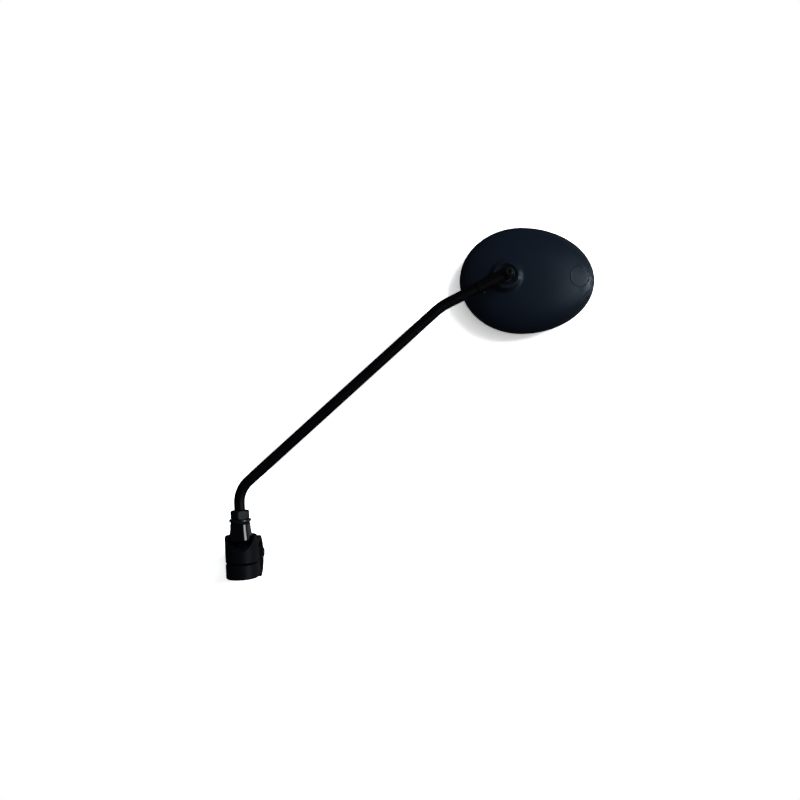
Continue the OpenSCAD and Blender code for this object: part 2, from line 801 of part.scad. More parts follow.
// Steel plate that holds the spring, with a leg to each screw post
module retainer_plate() {
    color("lightsteelblue") at_head() translate([0, 0, plate_back_h]) difference() {
        union() {
            cylinder(r = inner_boss_r, h = plate_t);
            at_plate_screws() {
                cylinder(r = post_r + 0.6, h = plate_t);
                translate([-plate_screw_r, -post_r - 0.6, 0]) cube([plate_screw_r, 2 * post_r + 1.2, plate_t]);
            }
        }
        translate([0, 0, -over]) cylinder(r = head_liner_r * 0.6, h = plate_t + 2 * over);
        at_plate_screws() translate([0, 0, -over]) cylinder(r = plate_screw_d / 2 + loose_fit, h = plate_t + 2 * over);
    }
}

// The plate's three screws
module plate_screws() {
    color("gray") at_head() at_plate_screws() translate([0, 0, plate_back_h - plate_head_h])
        cap_screw(plate_head_r, plate_head_h, plate_screw_d / 2, plate_t + screw_in);
}

// Egg-shaped slab between two heights
module egg_slab(drawn_in, from, to) {
    translate([0, 0, from]) linear_extrude(height = to - from) polygon(egg_outline(drawn_in));
}

// Everything behind the glass's curve as the rider sees it, with the curve's crown at a height
module behind_glass(crown) {
    reach = head_right + 2;
    rotate_extrude() polygon(concat(
        [for (i = [0 : lens_steps]) let (r = reach * i / lens_steps) [r, crown + r * r / (2 * glass_curve_r)]],
        [[reach, crown_h], [0, crown_h]]));
}

// Layer of the glass stack between two heights of the curve
module curved_layer(drawn_in, from, to) {
    difference() {
        intersection() {
            egg_slab(drawn_in, from - over, ledge_h);
            behind_glass(from);
        }
        if (to < ledge_h) behind_glass(to);
    }
}

// Tray that rests on the shell's ledge and carries the pad
module glass_carrier() {
    color("#2b2b2d") at_egg() curved_layer(shell_wall + run_fit, pad_front_h, ledge_h);
}

// Foam pad between tray and glass
module glass_pad() {
    color("#3c3c3e") at_egg() curved_layer(glass_in + 1, glass_front_h, pad_front_h);
}

// Convex mirror glass
module mirror_glass() {
    color("lightblue") at_egg() curved_layer(glass_in + run_fit, glass_crown_h, glass_front_h);
}

// Rubber seal between glass and rim, with a lip over the glass's edge
module rim_seal() {
    lip_top_h = glass_crown_h + pow(head_half_h - glass_in - seal_lip, 2) / (2 * glass_curve_r) - run_fit;
    color("#18181a") at_egg() difference() {
        egg_slab(shell_wall + run_fit, rim_back_h, pad_front_h);
        egg_slab(glass_in, lip_top_h, pad_front_h + over);
        egg_slab(glass_in + seal_lip, rim_back_h - over, lip_top_h + over);
    }
}

clamp_body();
clamp_jaw();
hinge_pin();
bar_liner_upper();
bar_liner_lower();
clamp_screws();
clamp_inserts();
ball_cup();
tension_screw();
tension_insert();
foot();
foot_insert();
seal_ring();
washer();
lock_nut();
mast();
arm_end();
cross_pin();
ball_stud();
eye_screw();
eye_washer();
head_liner();
shell();
pressure_cup();
disc_spring();
retainer_plate();
plate_screws();
glass_carrier();
glass_pad();
mirror_glass();
rim_seal();
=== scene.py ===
"""Looks of the clamp-on handlebar mirror, built round its packed construction."""

import math

import bmesh
import bpy
import numpy as np
from mathutils import Matrix, Vector


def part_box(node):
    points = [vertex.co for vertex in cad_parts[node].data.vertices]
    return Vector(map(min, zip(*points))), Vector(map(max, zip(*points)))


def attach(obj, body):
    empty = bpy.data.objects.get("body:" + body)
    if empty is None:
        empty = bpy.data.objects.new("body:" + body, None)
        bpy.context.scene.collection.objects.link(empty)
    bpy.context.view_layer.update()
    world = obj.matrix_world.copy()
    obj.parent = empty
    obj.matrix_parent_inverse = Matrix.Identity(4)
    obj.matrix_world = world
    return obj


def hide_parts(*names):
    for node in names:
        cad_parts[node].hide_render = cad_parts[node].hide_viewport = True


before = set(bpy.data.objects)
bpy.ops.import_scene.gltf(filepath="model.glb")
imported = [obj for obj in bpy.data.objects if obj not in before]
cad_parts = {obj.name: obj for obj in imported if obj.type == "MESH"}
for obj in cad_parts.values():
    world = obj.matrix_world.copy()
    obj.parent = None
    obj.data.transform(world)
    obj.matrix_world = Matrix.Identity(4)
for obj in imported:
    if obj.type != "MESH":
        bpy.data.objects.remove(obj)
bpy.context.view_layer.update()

# Camera: it looks square at the plane of the mast from in front of the bar, rolled a little so that the
# bar rises to the right.
scene = bpy.context.scene
scene.view_settings.view_transform = "Standard"
viewpoint = (0.115627, -0.655, 0.108985)
roll = math.radians(2.5)
camera = bpy.data.objects.new("camera", bpy.data.cameras.new("camera"))
camera.data.sensor_width = 36
camera.data.lens = 40.377
camera.matrix_world = Matrix((
    (math.cos(roll), math.sin(roll), 0, viewpoint[0]),
    (0, 0, -1, viewpoint[1]),
    (-math.sin(roll), math.cos(roll), 0, viewpoint[2]),
    (0, 0, 0, 1)))
scene.collection.objects.link(camera)
scene.camera = camera


# Backdrop: the mirror lies just in front of a white sheet, which takes its close shadows. The sheet fades
# into the white room away from the head and the clamp, and from behind, so that it hides no turned part.
def feed(tree, socket, value):
    """Gives a socket a plain value, or a link from another socket."""
    if isinstance(value, bpy.types.NodeSocket):
        tree.links.new(value, socket)
    else:
        socket.default_value = value


def combine(tree, operation, *values):
    """Socket with the result of a math operation on sockets and plain numbers."""
    node = tree.nodes.new("ShaderNodeMath")
    node.operation = operation
    for socket, value in zip(node.inputs, values):
        feed(tree, socket, value)
    return node.outputs["Value"]


def ramp(tree, value, low, high, first=0.0, last=1.0):
    """Socket that goes evenly from first to last while the value goes from low to high."""
    node = tree.nodes.new("ShaderNodeMapRange")
    node.inputs["From Min"].default_value = low
    node.inputs["From Max"].default_value = high
    node.inputs["To Min"].default_value = first
    node.inputs["To Max"].default_value = last
    tree.links.new(value, node.inputs["Value"])
    return node.outputs["Result"]


def switch(tree, is_on, off_value, on_value):
    """Socket with one value where a Light Path output is 0, and another where it is 1."""
    node = tree.nodes.new("ShaderNodeMix")
    tree.links.new(is_on, node.inputs["Factor"])
    feed(tree, node.inputs["A"], off_value)
    feed(tree, node.inputs["B"], on_value)
    return node.outputs["Result"]


sheet_y = 0.024
sheet_half = 3
head_shadow = ((0.203, sheet_y, 0.187), 0.085)
clamp_shadow = ((-0.012, sheet_y, 0), 0.07)
full_share = 0.75
paper_tone = 0.9
paper_seen = 3.0
corners = [(-1, -1), (1, -1), (1, 1), (-1, 1)]
sheet = bpy.data.objects.new("white_sheet", bpy.data.meshes.new("white_sheet"))
sheet.data.from_pydata([(x * sheet_half, sheet_y, z * sheet_half) for x, z in corners], [], [(0, 1, 2, 3)])
scene.collection.objects.link(sheet)
paper = bpy.data.materials.new("paper")
paper.use_nodes = True
tree = paper.node_tree
tree.nodes.clear()
ray = tree.nodes.new("ShaderNodeLightPath")
side = tree.nodes.new("ShaderNodeNewGeometry")
spot = tree.nodes.new("ShaderNodeTexCoord")
fades = []
for middle, radius in (head_shadow, clamp_shadow):
    apart = tree.nodes.new("ShaderNodeVectorMath")
    apart.operation = "DISTANCE"
    apart.inputs[1].default_value = middle
    tree.links.new(spot.outputs["Object"], apart.inputs[0])
    fades.append(ramp(tree, apart.outputs["Value"], full_share * radius, radius))
gone = combine(tree, "MAXIMUM", side.outputs["Backfacing"], combine(tree, "MINIMUM", *fades))
white = tree.nodes.new("ShaderNodeBsdfDiffuse")
tree.links.new(switch(tree, ray.outputs["Is Camera Ray"], paper_tone, paper_seen), white.inputs["Color"])
clear = tree.nodes.new("ShaderNodeBsdfTransparent")
blend = tree.nodes.new("ShaderNodeMixShader")
tree.links.new(gone, blend.inputs["Fac"])
tree.links.new(white.outputs["BSDF"], blend.inputs[1])
tree.links.new(clear.outputs["BSDF"], blend.inputs[2])
output = tree.nodes.new("ShaderNodeOutputMaterial")
tree.links.new(blend.outputs["Shader"], output.inputs["Surface"])
sheet.data.materials.append(paper)
sheet.visible_glossy = False

# Room: pale all round and lighter towards the camera and the upper right, so that only close shadows show
# on the sheet. Satin surfaces mirror a dark studio with one lighter side, on the right, and the glass shows
# a pale room.
room = bpy.data.worlds.new("room")
scene.world = room
room.use_nodes = True
room.cycles.sampling_method = "NONE"
tree = room.node_tree
ray = tree.nodes.new("ShaderNodeLightPath")
towards = tree.nodes.new("ShaderNodeTexCoord")


def glow(direction, near, low, high):
    """Strength of the room: it grows from low to high as the cosine of a ray's angle to the direction goes
    from near to 1."""
    turned = tree.nodes.new("ShaderNodeVectorMath")
    turned.operation = "DOT_PRODUCT"
    turned.inputs[1].default_value = Vector(direction).normalized()
    tree.links.new(towards.outputs["Generated"], turned.inputs[0])
    return ramp(tree, turned.outputs["Value"], near, 1, low, high)


lighting = glow((0.75, -0.35, 0.56), -0.7, 0.12, 0.57)
sheen = glow((0.87, 0.5, 0.1), 0.6, 0.01, 0.26)
in_glass = 0.7
seen = 1.0
strength = switch(tree, ray.outputs["Is Glossy Ray"], lighting, sheen)
strength = switch(tree, ray.outputs["Is Singular Ray"], strength, in_glass)
strength = switch(tree, ray.outputs["Is Camera Ray"], strength, seen)
background = tree.nodes["Background"]
background.inputs["Color"].default_value = (1, 1, 1, 1)
tree.links.new(strength, background.inputs["Strength"])


# Lamps: daylight from a broad window to the right of the camera and above. In reflections there is a
# weaker upright strip, which gleams on the foot, and a small narrow one at the side, for the head's boss.
daylight = (0.86, 0.94, 1.0)


def lamp(name, place, size, power, gleams, aim=(0.12, 0, 0.1), spread=180):
    """Rectangular lamp of size (across, up) at a place in metres, turned to its aim, with a spread in
    degrees. It either gleams in the pieces or lights them."""
    light = bpy.data.lights.new(name, "AREA")
    light.shape = "RECTANGLE"
    light.size = size[0]
    light.size_y = size[1]
    light.energy = power
    light.spread = math.radians(spread)
    light.color = daylight
    made = bpy.data.objects.new(name, light)
    made.location = place
    made.rotation_euler = (Vector(aim) - made.location).to_track_quat("-Z", "Y").to_euler()
    made.visible_glossy = gleams
    made.visible_diffuse = not gleams
    scene.collection.objects.link(made)


lamp("window_light", place=(1.7, -2.0, 1.2), size=(1.4, 1.4), power=68, gleams=False)
lamp("window_gleam", place=(1.08, -0.73, 0.15), size=(0.5, 0.9), power=5.5, gleams=True)
lamp("side_gleam", place=(0.75, -0.03, 0.22), size=(0.3, 0.12), power=0.064, gleams=True,
     aim=(0.22, 0, 0.215), spread=12)

# Clamp halves: glass-filled nylon mouldings, matt black with a fine spark-eroded grain. The upper one
# holds the ball socket in front of the bar, and the lower one hangs on a hinge behind it.
surface = bpy.data.node_groups.new("surface", "ShaderNodeTree")
for socket in ("Grain size", "Grain depth", "Edge radius"):
    surface.interface.new_socket(socket, in_out="INPUT", socket_type="NodeSocketFloat")
surface.interface.new_socket("Normal", in_out="OUTPUT", socket_type="NodeSocketVector")
surface.interface.new_socket("Tone", in_out="OUTPUT", socket_type="NodeSocketFloat")
given = surface.nodes.new("NodeGroupInput")
result = surface.nodes.new("NodeGroupOutput")
place = surface.nodes.new("ShaderNodeTexCoord")
grain = surface.nodes.new("ShaderNodeTexNoise")
grain.inputs["Detail"].default_value = 4
surface.links.new(place.outputs["Object"], grain.inputs["Vector"])
surface.links.new(combine(surface, "DIVIDE", 1000.0, given.outputs["Grain size"]), grain.inputs["Scale"])
soft = surface.nodes.new("ShaderNodeBevel")
soft.samples = 6
surface.links.new(combine(surface, "MULTIPLY", given.outputs["Edge radius"], 0.001), soft.inputs["Radius"])
bump = surface.nodes.new("ShaderNodeBump")
surface.links.new(grain.outputs["Fac"], bump.inputs["Height"])
surface.links.new(combine(surface, "MULTIPLY", given.outputs["Grain depth"], 0.001), bump.inputs["Distance"])
surface.links.new(soft.outputs["Normal"], bump.inputs["Normal"])
surface.links.new(bump.outputs["Normal"], result.inputs["Normal"])
slow = surface.nodes.new("ShaderNodeTexNoise")
slow.inputs["Scale"].default_value = 70
slow.inputs["Detail"].default_value = 3
surface.links.new(place.outputs["Object"], slow.inputs["Vector"])
surface.links.new(slow.outputs["Fac"], result.inputs["Tone"])


def finish(name, colour, roughness, metallic=0.0, specular=0.5, grain=(0.5, 0.01), edge=0.2, patchy=0.15):
    """Material with a fine grain of (size, depth) and edges softened by a radius, all in millimetres. Its
    roughness wanders slowly, by the share patchy to either side."""
    material = bpy.data.materials.new(name)
    material.use_nodes = True
    tree = material.node_tree
    shader = tree.nodes["Principled BSDF"]
    shader.inputs["Base Color"].default_value = (*colour, 1)
    shader.inputs["Metallic"].default_value = metallic
    shader.inputs["Specular IOR Level"].default_value = specular
    texture = tree.nodes.new("ShaderNodeGroup")
    texture.node_tree = surface
    texture.inputs["Grain size"].default_value = grain[0]
    texture.inputs["Grain depth"].default_value = grain[1]
    texture.inputs["Edge radius"].default_value = edge
    tree.links.new(texture.outputs["Normal"], shader.inputs["Normal"])
    wander = ramp(tree, texture.outputs["Tone"], 0.3, 0.7, roughness * (1 - patchy), roughness * (1 + patchy))
    tree.links.new(wander, shader.inputs["Roughness"])
    return material


def paint(material, *names):
    """Gives the material to the construction's own nodes of these names."""
    for name in names:
        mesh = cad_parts[name].data
        mesh.materials.clear()
        mesh.materials.append(material)


clamp_black = (0.0017, 0.0020, 0.0031)
clamp_plastic = finish("clamp_plastic", clamp_black, 0.5, specular=0.18, grain=(0.35, 0.012), edge=0.45)
paint(clamp_plastic, "clamp_body", "clamp_jaw")

# Bar liners: two half sleeves of moulded black rubber, which grip the bar inside the clamp. They have a
# dull, slightly dusty skin.
rubber_black = (0.0037, 0.0037, 0.0044)
rubber = finish("rubber", rubber_black, 0.75, specular=0.2, grain=(0.6, 0.02), edge=0.2)
paint(rubber, "bar_liner_upper", "bar_liner_lower")

# Clamp hardware: black zinc-plated cap screws, which close the clamp from below, a grub screw under the
# ball cup, a bright pin for the rear hinge, and the brass inserts that the screws turn in.
zinc_black = (0.0034, 0.0037, 0.0044)
steel_grey = (0.55, 0.55, 0.56)
brass_yellow = (0.60, 0.42, 0.17)
black_steel = finish("black_steel", zinc_black, 0.33, specular=0.18, grain=(0.25, 0.003), edge=0.15)
bright_steel = finish("bright_steel", steel_grey, 0.28, metallic=1, grain=(0.2, 0.002), edge=0.15)
brass = finish("brass", brass_yellow, 0.35, metallic=1, grain=(0.3, 0.003), edge=0.15)
paint(black_steel, "clamp_screws", "tension_screw")
paint(bright_steel, "hinge_pin")
paint(brass, "clamp_inserts", "tension_insert")

# Ball cup: a moulded cup of black nylon that the foot's ball sits in, smooth and a little waxy. The grub
# screw in the jaw presses it against the ball.
nylon_black = (0.0027, 0.0027, 0.0037)
nylon = finish("nylon", nylon_black, 0.6, specular=0.1, grain=(0.8, 0.004), edge=0.2)
paint(nylon, "ball_cup")


# Foot: a turned plastic ball, neck and skirt in one, polished deep black. The ball sits in the clamp's
# socket, and a brass insert in the skirt takes the mast's thread.
def place_of(node):
    """Lowest and highest corner of a construction node, in millimetres."""
    low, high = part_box(node)
    return np.array(low) * 1000, np.array(high) * 1000


def skin(name, grid, looped):
    """Object over a grid of points (rows, columns, 3) in millimetres, closed round its columns. Its rows
    either run back to the first or end in flat faces. Edges that turn by more than 40 degrees stay sharp."""
    number = np.arange(grid.shape[0] * grid.shape[1]).reshape(grid.shape[:2])
    beside = np.roll(number, -1, axis=1)
    quads = np.stack([number, beside, np.roll(beside, -1, axis=0), np.roll(number, -1, axis=0)], axis=-1)
    if looped:
        faces = quads.reshape(-1, 4).tolist()
    else:
        faces = quads[:-1].reshape(-1, 4).tolist() + [number[0].tolist(), number[-1].tolist()]
    mesh = bpy.data.meshes.new(name)
    mesh.from_pydata((grid.reshape(-1, 3) / 1000).tolist(), [], faces)
    shape = bmesh.new()
    shape.from_mesh(mesh)
    bmesh.ops.recalc_face_normals(shape, faces=shape.faces)
    shape.to_mesh(mesh)
    shape.free()
    mesh.shade_smooth()
    mesh.set_sharp_from_angle(angle=math.radians(40))
    made = bpy.data.objects.new(name, mesh)
    scene.collection.objects.link(made)
    return made


def rounded(corners, radius, steps=4, looped=True):
    """Outline with each corner drawn as a parabola that starts and ends a radius away from it, or less on
    short sides: (1 - s)^2 start + 2 s (1 - s) corner + s^2 end, with s from 0 to 1."""
    corners = np.asarray(corners, float)
    drawn = []
    for i, corner in enumerate(corners):
        if not looped and i in (0, len(corners) - 1):
            drawn.append(corner)
            continue
        before = corners[i - 1] - corner
        after = corners[(i + 1) % len(corners)] - corner
        cut = min(radius, 0.45 * np.linalg.norm(before), 0.45 * np.linalg.norm(after))
        start = corner + before / np.linalg.norm(before) * cut
        end = corner + after / np.linalg.norm(after) * cut
        for s in np.linspace(0, 1, steps + 1):
            drawn.append((1 - s) ** 2 * start + 2 * s * (1 - s) * corner + s ** 2 * end)
    return np.array(drawn)


def turned_grid(profile, centre, columns=96):
    """Grid of a profile of (radius, height) turned about an upright axis through centre: x and y are the
    centre plus the radius times the cosine and sine of the turn."""
    turn = 2 * np.pi * np.arange(columns) / columns
    radius = np.asarray(profile)[:, 0][:, None]
    height = np.asarray(profile)[:, 1][:, None]
    return np.stack(np.broadcast_arrays(
        centre[0] + radius * np.cos(turn), centre[1] + radius * np.sin(turn), height), axis=-1)


foot_low, foot_high = place_of("foot")
mast_axis = ((foot_low[0] + foot_high[0]) / 2, (foot_low[1] + foot_high[1]) / 2)
ball_r = 6.3
ball_z = 6
ball_cut = 5.42
neck_r = 3.6
neck_start_z = ball_z + 6
skirt_r = (foot_high[0] - foot_low[0]) / 2
skirt_z = ball_z + 9
under_w = 1.6
lip_z = skirt_z + 0.7
skirt_lip_in = 0.1
widest_z = skirt_z + 2
shoulder_z = skirt_z + 5
shoulder_in = 0.45
taper_z = skirt_z + 8.6
taper_r = 7.2
top_r = 7.05
top_z = foot_high[2]
bore_r = 5.1
bore_depth = 9.4
bore_edge_w = 0.1
bore_edge_h = 0.2
foot_round = 1.1
latitude = np.linspace(math.asin(-ball_cut / ball_r), math.acos(neck_r / ball_r), 30)
ball_profile = np.stack([ball_r * np.cos(latitude), ball_z + ball_r * np.sin(latitude)], axis=-1)
skirt_profile = rounded(
    [(neck_r, neck_start_z), (neck_r, skirt_z), (skirt_r - under_w, skirt_z),
     (skirt_r - skirt_lip_in, lip_z), (skirt_r, widest_z), (skirt_r - shoulder_in, shoulder_z),
     (taper_r, taper_z), (top_r, top_z),
     (bore_r + bore_edge_w, top_z), (bore_r, top_z - bore_edge_h), (bore_r, top_z - bore_depth)],
    foot_round, 5, looped=False)
foot = skin("foot_turned", turned_grid(np.vstack([ball_profile, skirt_profile]), mast_axis), looped=False)
foot_black = (0.0010, 0.0010, 0.0017)
gloss = finish("foot_gloss", foot_black, 0.07, specular=1.0, grain=(4, 0.0015), edge=0.1)
gloss.node_tree.nodes["Principled BSDF"].inputs["Coat Weight"].default_value = 0.6
foot.data.materials.append(gloss)
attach(foot, "foot")
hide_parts("foot")
paint(brass, "foot_insert")

# Seal ring: moulded black rubber between skirt and washer. The nut squeezes it a little, so that its edge
# bulges.
low, high = place_of("seal_ring")
hole_r = 4.2
outer = (high[0] - low[0]) / 2
bulge = 0.25
seal_round = 0.35
seal_ring = skin("seal_ring_rounded", turned_grid(rounded(
    [(hole_r, low[2]), (outer - bulge, low[2]), (outer, (low[2] + high[2]) / 2), (outer - bulge, high[2]),
     (hole_r, high[2])], seal_round), mast_axis), looped=True)
seal_ring.data.materials.append(rubber)
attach(seal_ring, "foot")
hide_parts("seal_ring")

# Washer: stamped steel, black zinc-plated and worn shiny by the nut, which presses it on the seal ring.
# Its edges are rounded by the stamping.
low, high = place_of("washer")
outer = (high[0] - low[0]) / 2
stamped_round = 0.32
washer = skin("washer_stamped", turned_grid(rounded(
    [(hole_r, low[2]), (outer, low[2]), (outer, high[2]), (hole_r, high[2])], stamped_round),
    mast_axis), looped=True)
worn_black = (0.0041, 0.0041, 0.0051)
washer.data.materials.append(finish("worn_zinc", worn_black, 0.28, specular=0.8, grain=(0.25, 0.003)))
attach(washer, "foot")
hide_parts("washer")

# Lock nut: a steel hexagon, black zinc-plated, that locks the mast's thread in the foot. Its corners are
# cut by a cone at each end, which leaves the curved edges that every machined nut has.
low, high = place_of("lock_nut")
half_flats = 6
cone_in = 0.15
cone_slope = math.tan(math.radians(60))
thread_hole_r = 4.05
countersink_r = 4.5
countersink_h = 0.4
columns = 144
turn = 2 * np.pi * np.arange(columns) / columns
hexagon = half_flats / np.cos(np.mod(turn + np.pi / 6, np.pi / 3) - np.pi / 6)
depth = np.array([0, 0.06, 0.12, 0.2, 0.3, 0.45, 0.6, 0.9])
from_end = np.concatenate([depth, depth[::-1]])
side_height = np.concatenate([low[2] + depth, high[2] - depth[::-1]])
side_radius = np.minimum(hexagon, half_flats - cone_in + from_end[:, None] * cone_slope)
bore = np.array([(countersink_r, high[2]), (thread_hole_r, high[2] - countersink_h),
                 (thread_hole_r, low[2] + countersink_h), (countersink_r, low[2])])
nut_radius = np.vstack([side_radius, np.broadcast_to(bore[:, :1], (len(bore), columns))])
nut_height = np.concatenate([side_height, bore[:, 1]])[:, None]
nut_grid = np.stack(np.broadcast_arrays(
    mast_axis[0] + nut_radius * np.cos(turn), mast_axis[1] + nut_radius * np.sin(turn), nut_height), axis=-1)
lock_nut = skin("lock_nut_machined", nut_grid, looped=True)
lock_nut.data.materials.append(black_steel)
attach(lock_nut, "mast")
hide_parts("lock_nut")

# Mast: one steel rod with a rolled thread at the foot and two cold bends. It has a matt black powder coat
# with its slight orange peel.
rod_r = 3.8
thread_r = 4.0
thread_depth = 0.55
pitch = 1.25
thread_past_nut = 1.1
thread_top = place_of("lock_nut")[1][2] + thread_past_nut
thread_end = 0.4
corner_z = 51
bends = ((50.3, 20), (15.7, 45))
corner_to_eye = 52.1
fitting_l = 24.2
rod_in_fitting = 14
legs = (191.7, corner_to_eye - fitting_l + rod_in_fitting)
low, high = place_of("mast")
columns = 64
turn = 2 * np.pi * np.arange(columns) / columns
stations = [(mast_axis[0], z, 0.0) for z in np.arange(low[2], thread_top, pitch / 10)]
x, z, heading = mast_axis[0], thread_top, 0.0
lengths = [corner_z - thread_top, *legs]
for i, (angle, bend_r) in enumerate(bends):
    before = math.radians(bends[i - 1][0]) / 2 if i else 0
    used = bends[i - 1][1] * math.tan(before) if i else 0
    run = lengths[i] - used - bend_r * math.tan(math.radians(angle) / 2)
    for share in np.linspace(0, 1, 12):
        stations.append((x + share * run * math.sin(heading), z + share * run * math.cos(heading), heading))
    x += run * math.sin(heading)
    z += run * math.cos(heading)
    middle = (x + bend_r * math.cos(heading), z - bend_r * math.sin(heading))
    for turned_by in np.radians(np.linspace(0, angle, 28)[1:]):
        now = heading + turned_by
        stations.append((middle[0] - bend_r * math.cos(now), middle[1] + bend_r * math.sin(now), now))
    x, z, heading = stations[-1]
last_run = lengths[-1] - bends[-1][1] * math.tan(math.radians(bends[-1][0]) / 2)
stations.append((x + last_run * math.sin(heading), z + last_run * math.cos(heading), heading))
stations = np.array(stations)
# The thread's radius falls and rises once a pitch, along a helix: a triangle wave cut flat at crest and root.
threaded = (stations[:, 1] < thread_top - thread_end) & (stations[:, 2] == 0)
wave = np.mod(stations[:, 1][:, None] / pitch - turn / (2 * np.pi), 1)
ridge = np.abs(2 * wave - 1)
cut_in = np.clip(1.25 * ridge - 0.12, 0, 1)
mast_radius = np.where(threaded[:, None], thread_r - thread_depth * cut_in, rod_r)
along = stations[:, 2][:, None]
mast_grid = np.stack(np.broadcast_arrays(
    stations[:, 0][:, None] + mast_radius * np.cos(turn) * np.cos(along),
    mast_axis[1] + mast_radius * np.sin(turn),
    stations[:, 1][:, None] - mast_radius * np.cos(turn) * np.sin(along)), axis=-1)
mast = skin("mast_rod", mast_grid, looped=False)
coat_black = (0.0014, 0.0014, 0.0020)
mast.data.materials.append(
    finish("powder_coat", coat_black, 0.42, specular=0.14, grain=(0.9, 0.02), edge=0.15))
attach(mast, "mast")
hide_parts("mast")

# Arm end: a machined fitting slid on the rod and held there by a spring pin, with an eye for the head's
# screw. It is coated black, with a little more sheen than the rod.
arm_black = (0.0017, 0.0017, 0.0024)
paint(finish("arm_end_coat", arm_black, 0.38, specular=0.16, grain=(0.4, 0.006), edge=0.4), "arm_end")
paint(black_steel, "cross_pin")

# Ball joint of the head: a bright turned ball stud behind the eye, in a split nylon liner. A conical
# spring washer presses a nylon cup on the liner from behind.
paint(bright_steel, "ball_stud", "disc_spring")
paint(nylon, "head_liner", "pressure_cup")

# Eye screw and its washer: a blackened steel button screw with a hexagon socket, which holds the ball stud
# in the arm end's eye.
washer_low, washer_high = place_of("eye_washer")
screw_low, screw_high = place_of("eye_screw")
eye = ((washer_low[0] + washer_high[0]) / 2, (washer_low[2] + washer_high[2]) / 2)
end_h = -screw_high[1]
shank_h = 21.5
end_r = 2.1
shank_r = 2.4
head_r = 3.1
head_h = 2.4
head_edge = 0.15
front = -screw_low[1]
under_head = front - head_h
socket_r = 1.6
socket_edge_w = 0.12
socket_edge_h = 0.1
socket_depth = 1.5
drill_depth = 1.9
drill_end_r = 0.3
columns = 96
turn = 2 * np.pi * np.arange(columns) / columns
around = np.ones(columns)
hexagon = np.cos(np.pi / 6) / np.cos(np.mod(turn, np.pi / 3) - np.pi / 6)
arc = np.radians(np.linspace(8, 58, 9))
screw_rows = [(end_r, end_h, around), (end_r, shank_h, around), (shank_r, shank_h, around),
              (shank_r, under_head, around), (head_r - head_edge, under_head, around),
              (head_r, under_head + head_edge, around)]
screw_rows += [(head_r * math.cos(a) ** 0.75, under_head + head_h * math.sin(a) / math.sin(arc[-1]), around)
               for a in arc]
screw_rows += [(socket_r + socket_edge_w, front, around), (socket_r, front - socket_edge_h, hexagon),
               (socket_r, front - socket_depth, hexagon), (drill_end_r, front - drill_depth, around)]
screw_grid = np.stack([np.stack(np.broadcast_arrays(
    eye[0] + r * shape * np.cos(turn), -h, eye[1] + r * shape * np.sin(turn)), axis=-1)
    for r, h, shape in screw_rows])
eye_screw = skin("eye_screw_button", screw_grid, looped=False)
oil_black = (0.0052, 0.0044, 0.0058)
eye_screw.data.materials.append(
    finish("blackened", oil_black, 0.5, specular=0.12, grain=(0.3, 0.004), edge=0.15))
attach(eye_screw, "stud")
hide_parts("eye_screw")
paint(black_steel, "eye_washer")

# Head shell: one satin moulding, egg-shaped and domed, with a boss for the ball joint, a plain raised
# ring near its pointed end and a rounded rim round the glass.
head_left = 45.2
head_right = 54.2
half_height = 39.2
crown = 12
dome_depth = 21
widest = crown - dome_depth
rim = 5
rim_in = 0.7
rim_round = 0.8
power = 2.3
wall = 2.2
ledge = -8.07
ledge_w = 1.6
egg_middle = (13.7, -1.1)
boss_r = 10.25
boss_front = 15.5
ball_centre = 7.5
seat_r = 8
mouth_r = seat_r + 0.2
mouth_drop = 0.6
land_in = seat_r + 0.4
land_out = seat_r + 1
shoulder_r = seat_r + 1.9
shoulder_drop = 1.1
front_round = 0.5
seat_gap = 0.9
socket_back = 0.2
flank = 50
fillet = 3.2
head_turn = math.radians(2.5)
columns = 240
turn = 2 * np.pi * np.arange(columns) / columns
aim_x = np.cos(turn)
aim_y = np.sin(turn)
boss_x = -egg_middle[0]
boss_y = -egg_middle[1]


def in_world(x, y, h):
    """Grid in world millimetres from the head's own axes: right and up from the egg's middle, and forward."""
    right = np.asarray(x) + egg_middle[0]
    up = np.asarray(y) + egg_middle[1]
    return np.stack(np.broadcast_arrays(
        eye[0] + right * math.cos(head_turn) + up * math.sin(head_turn), -np.asarray(h, float),
        eye[1] - right * math.sin(head_turn) + up * math.cos(head_turn)), axis=-1)


def share_of_egg(x, y, drawn_in):
    """Distance from the egg's middle as a share of the outline's: the root of (x / half length)^2 plus
    (y / half height)^2, where the half length differs between left and right."""
    length = np.where(x < 0, head_left, head_right) - drawn_in
    return np.hypot(x / length, y / (half_height - drawn_in))


def dome(x, y, drawn_in, base, depth):
    """Height of the dome: base + depth (1 - share^power)^(1 / power)."""
    share = np.clip(share_of_egg(x, y, drawn_in), 0, 1)
    return base + depth * (1 - share ** power) ** (1 / power)


def reach(drawn_in):
    """Distance in each direction from the boss's axis to the egg drawn in by that much, found by halving."""
    near = np.zeros(columns)
    far = np.full(columns, 150.0)
    for _ in range(40):
        half = (near + far) / 2
        inside = share_of_egg(boss_x + half * aim_x, boss_y + half * aim_y, drawn_in) < 1
        near = np.where(inside, half, near)
        far = np.where(inside, far, half)
    return near


